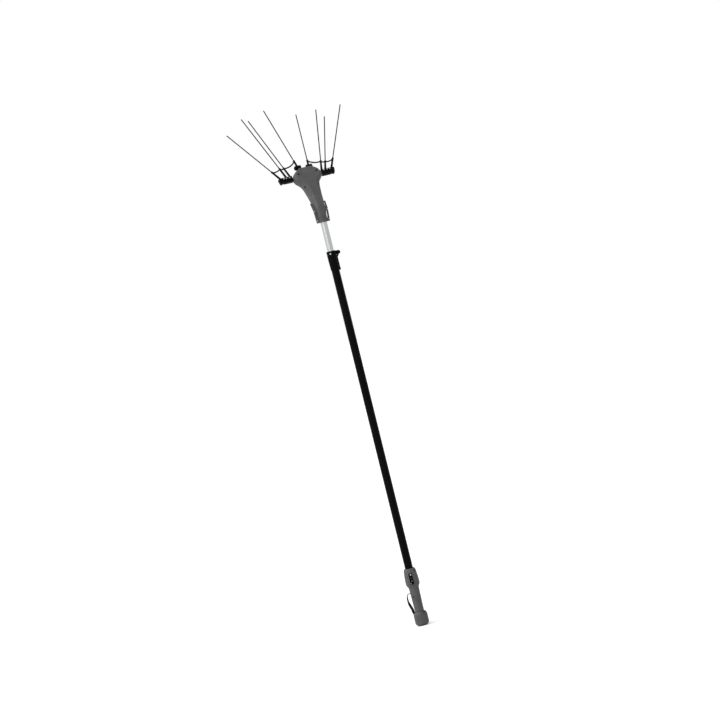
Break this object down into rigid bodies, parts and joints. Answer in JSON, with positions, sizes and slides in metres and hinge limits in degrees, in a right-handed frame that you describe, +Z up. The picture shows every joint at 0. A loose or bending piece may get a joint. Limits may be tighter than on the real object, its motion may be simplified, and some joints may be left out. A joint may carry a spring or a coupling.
{
  "type": "electric olive harvester",
  "caption": "Telescopic pole tool with a grip handle and a bent drive head whose two rakes of slim tines rock against each other to comb olives off branches.",
  "frame": {"origin": "centre of the rubber foot under the butt of the handle", "axes": "+Z up the pole, the switch faces -Y turned 20 degrees towards -X and the head leans back towards +Y; +X is to the right seen from the switch side"},
  "size_m": [0.5615, 0.325, 2.4814],
  "materials": {
    "housing_grey": "fine textured moulding",
    "black_plastic": "satin moulding",
    "rubber_black": "matt",
    "clear_lens": "polished, milky",
    "white_cap": "gloss moulding",
    "zinc_steel": "zinc plated",
    "black_steel": "black oxide",
    "black_tube": "black anodised aluminium",
    "bright_tube": "drawn, satin anodised",
    "webbing": "woven webbing",
    "brass_pin": "turned",
    "board_green": "coated board",
    "lead_black": "cable sheath",
    "motor_steel": "pressed, plated",
    "magnet_dark": "sintered ferrite",
    "carbon_block": "pressed carbon",
    "gear_steel": "cut and hardened",
    "nylon": "moulded nylon",
    "carbon_rod": "pultruded carbon fibre"
  },
  "bodies": {
    "handle": {"handle_front_shell": "housing_grey", "handle_rear_shell": "housing_grey", "handle_screws": "black_steel", "switch_panel": "housing_grey", "switch_bezel": "black_plastic", "switch_body": "black_plastic", "indicator_lens": "clear_lens", "butt_cap": "housing_grey", "foot_pad": "rubber_black", "power_socket": "black_plastic", "socket_contacts": "brass_pin", "control_board": "board_green", "wrist_strap": "webbing", "outer_tube": "black_tube", "coiled_lead": "lead_black", "clamp_collar": "black_plastic", "collar_screws": "zinc_steel", "brake_pad": "rubber_black", "hinge_pin": "zinc_steel"},
    "clamp_lever": {"clamp_lever": "black_plastic"},
    "rocker": {"rocker_switch": "black_plastic"},
    "button": {"mode_button": "white_cap"},
    "upper_pole": {"inner_tube": "bright_tube", "slide_bush": "nylon", "motor_lead": "lead_black", "head_front_shell": "housing_grey", "head_rear_shell": "housing_grey", "head_screws": "black_steel", "neck_bolts": "zinc_steel", "motor_can": "motor_steel", "motor_end_bell": "black_plastic", "motor_magnets": "magnet_dark", "motor_brushes": "carbon_block", "ring_gear": "gear_steel", "gear_plate": "motor_steel", "output_bearing": "gear_steel", "rake_bearings": "gear_steel", "shaft_seals": "rubber_black"},
    "rotor": {"armature": "motor_steel", "sun_gear": "gear_steel"},
    "cam": {"cam_shaft": "gear_steel", "cam_bearings": "gear_steel", "planet_pins": "gear_steel"},
    "planet_1": {"planet_gear_1": "gear_steel"},
    "planet_2": {"planet_gear_2": "gear_steel"},
    "planet_3": {"planet_gear_3": "gear_steel"},
    "left_rake": {"left_rake_shaft": "gear_steel", "left_rake_fork": "gear_steel", "left_inner_arm": "black_plastic", "left_rake_bar": "black_plastic", "left_rake_bolts": "zinc_steel", "left_tines": "carbon_rod", "left_tine_spacer": "black_plastic"},
    "right_rake": {"right_rake_shaft": "gear_steel", "right_rake_fork": "gear_steel", "right_inner_arm": "black_plastic", "right_rake_bar": "black_plastic", "right_rake_bolts": "zinc_steel", "right_tines": "carbon_rod", "right_tine_spacer": "black_plastic"}
  },
  "joints": [
    {"name": "pole_slide", "type": "slide", "parent": "handle", "child": "upper_pole", "axis": [0, 0, 1], "range_m": [-0.13, 0.85], "deforming": ["coiled_lead"]},
    {"name": "lever_hinge", "type": "hinge", "parent": "handle", "child": "clamp_lever", "pos_m": [0.031, 0, 1.757], "axis": [0, -1, 0], "range_deg": [0, 110]},
    {"name": "rocker_tip", "type": "hinge", "parent": "handle", "child": "rocker", "pos_m": [-0.01079, -0.02673, 0.21985], "axis": [-0.9397, 0.342, 0], "range_deg": [0, 16]},
    {"name": "button_press", "type": "slide", "parent": "handle", "child": "button", "axis": [0.3413, 0.9376, -0.0665], "range_m": [0, 0.0015], "stiffness_N_per_m": 300, "springref_m": -0.002},
    {"name": "left_rake_swing", "type": "hinge", "parent": "upper_pole", "child": "left_rake", "pos_m": [0, 0.07565, 2.12723], "axis": [1, 0, 0], "range_deg": [-14, 2]},
    {"name": "right_rake_swing", "type": "hinge", "parent": "upper_pole", "child": "right_rake", "pos_m": [0, 0.07565, 2.12723], "axis": [1, 0, 0], "range_deg": [-2, 14]},
    {"name": "cam_turn", "type": "hinge", "parent": "upper_pole", "child": "cam", "pos_m": [0, 0.06043, 2.0946], "axis": [0, 0.4226, 0.9063], "range_deg": [-16.14, 112.95]},
    {"name": "rotor_turn", "type": "hinge", "parent": "upper_pole", "child": "rotor", "pos_m": [0, 0.0317, 2.03297], "axis": [0, 0.4226, 0.9063], "range_deg": [-80.69, 564.73]},
    {"name": "planet_1_turn", "type": "hinge", "parent": "cam", "child": "planet_1", "pos_m": [0.012, 0.05071, 2.07376], "axis": [0, 0.4226, 0.9063], "range_deg": [-301.2, 43.04]},
    {"name": "planet_2_turn", "type": "hinge", "parent": "cam", "child": "planet_2", "pos_m": [-0.006, 0.06013, 2.06936], "axis": [0, 0.4226, 0.9063], "range_deg": [-301.2, 43.04]},
    {"name": "planet_3_turn", "type": "hinge", "parent": "cam", "child": "planet_3", "pos_m": [-0.006, 0.04129, 2.07815], "axis": [0, 0.4226, 0.9063], "range_deg": [-301.2, 43.04]}
  ],
  "couplings": [
    {"joint": "right_rake_swing", "follows": "left_rake_swing", "ratio": -1},
    {"joint": "cam_turn", "follows": "left_rake_swing", "ratio": -8.0675},
    {"joint": "rotor_turn", "follows": "left_rake_swing", "ratio": -40.337},
    {"joint": "planet_1_turn", "follows": "left_rake_swing", "ratio": 21.513},
    {"joint": "planet_2_turn", "follows": "left_rake_swing", "ratio": 21.513},
    {"joint": "planet_3_turn", "follows": "left_rake_swing", "ratio": 21.513}
  ]
}
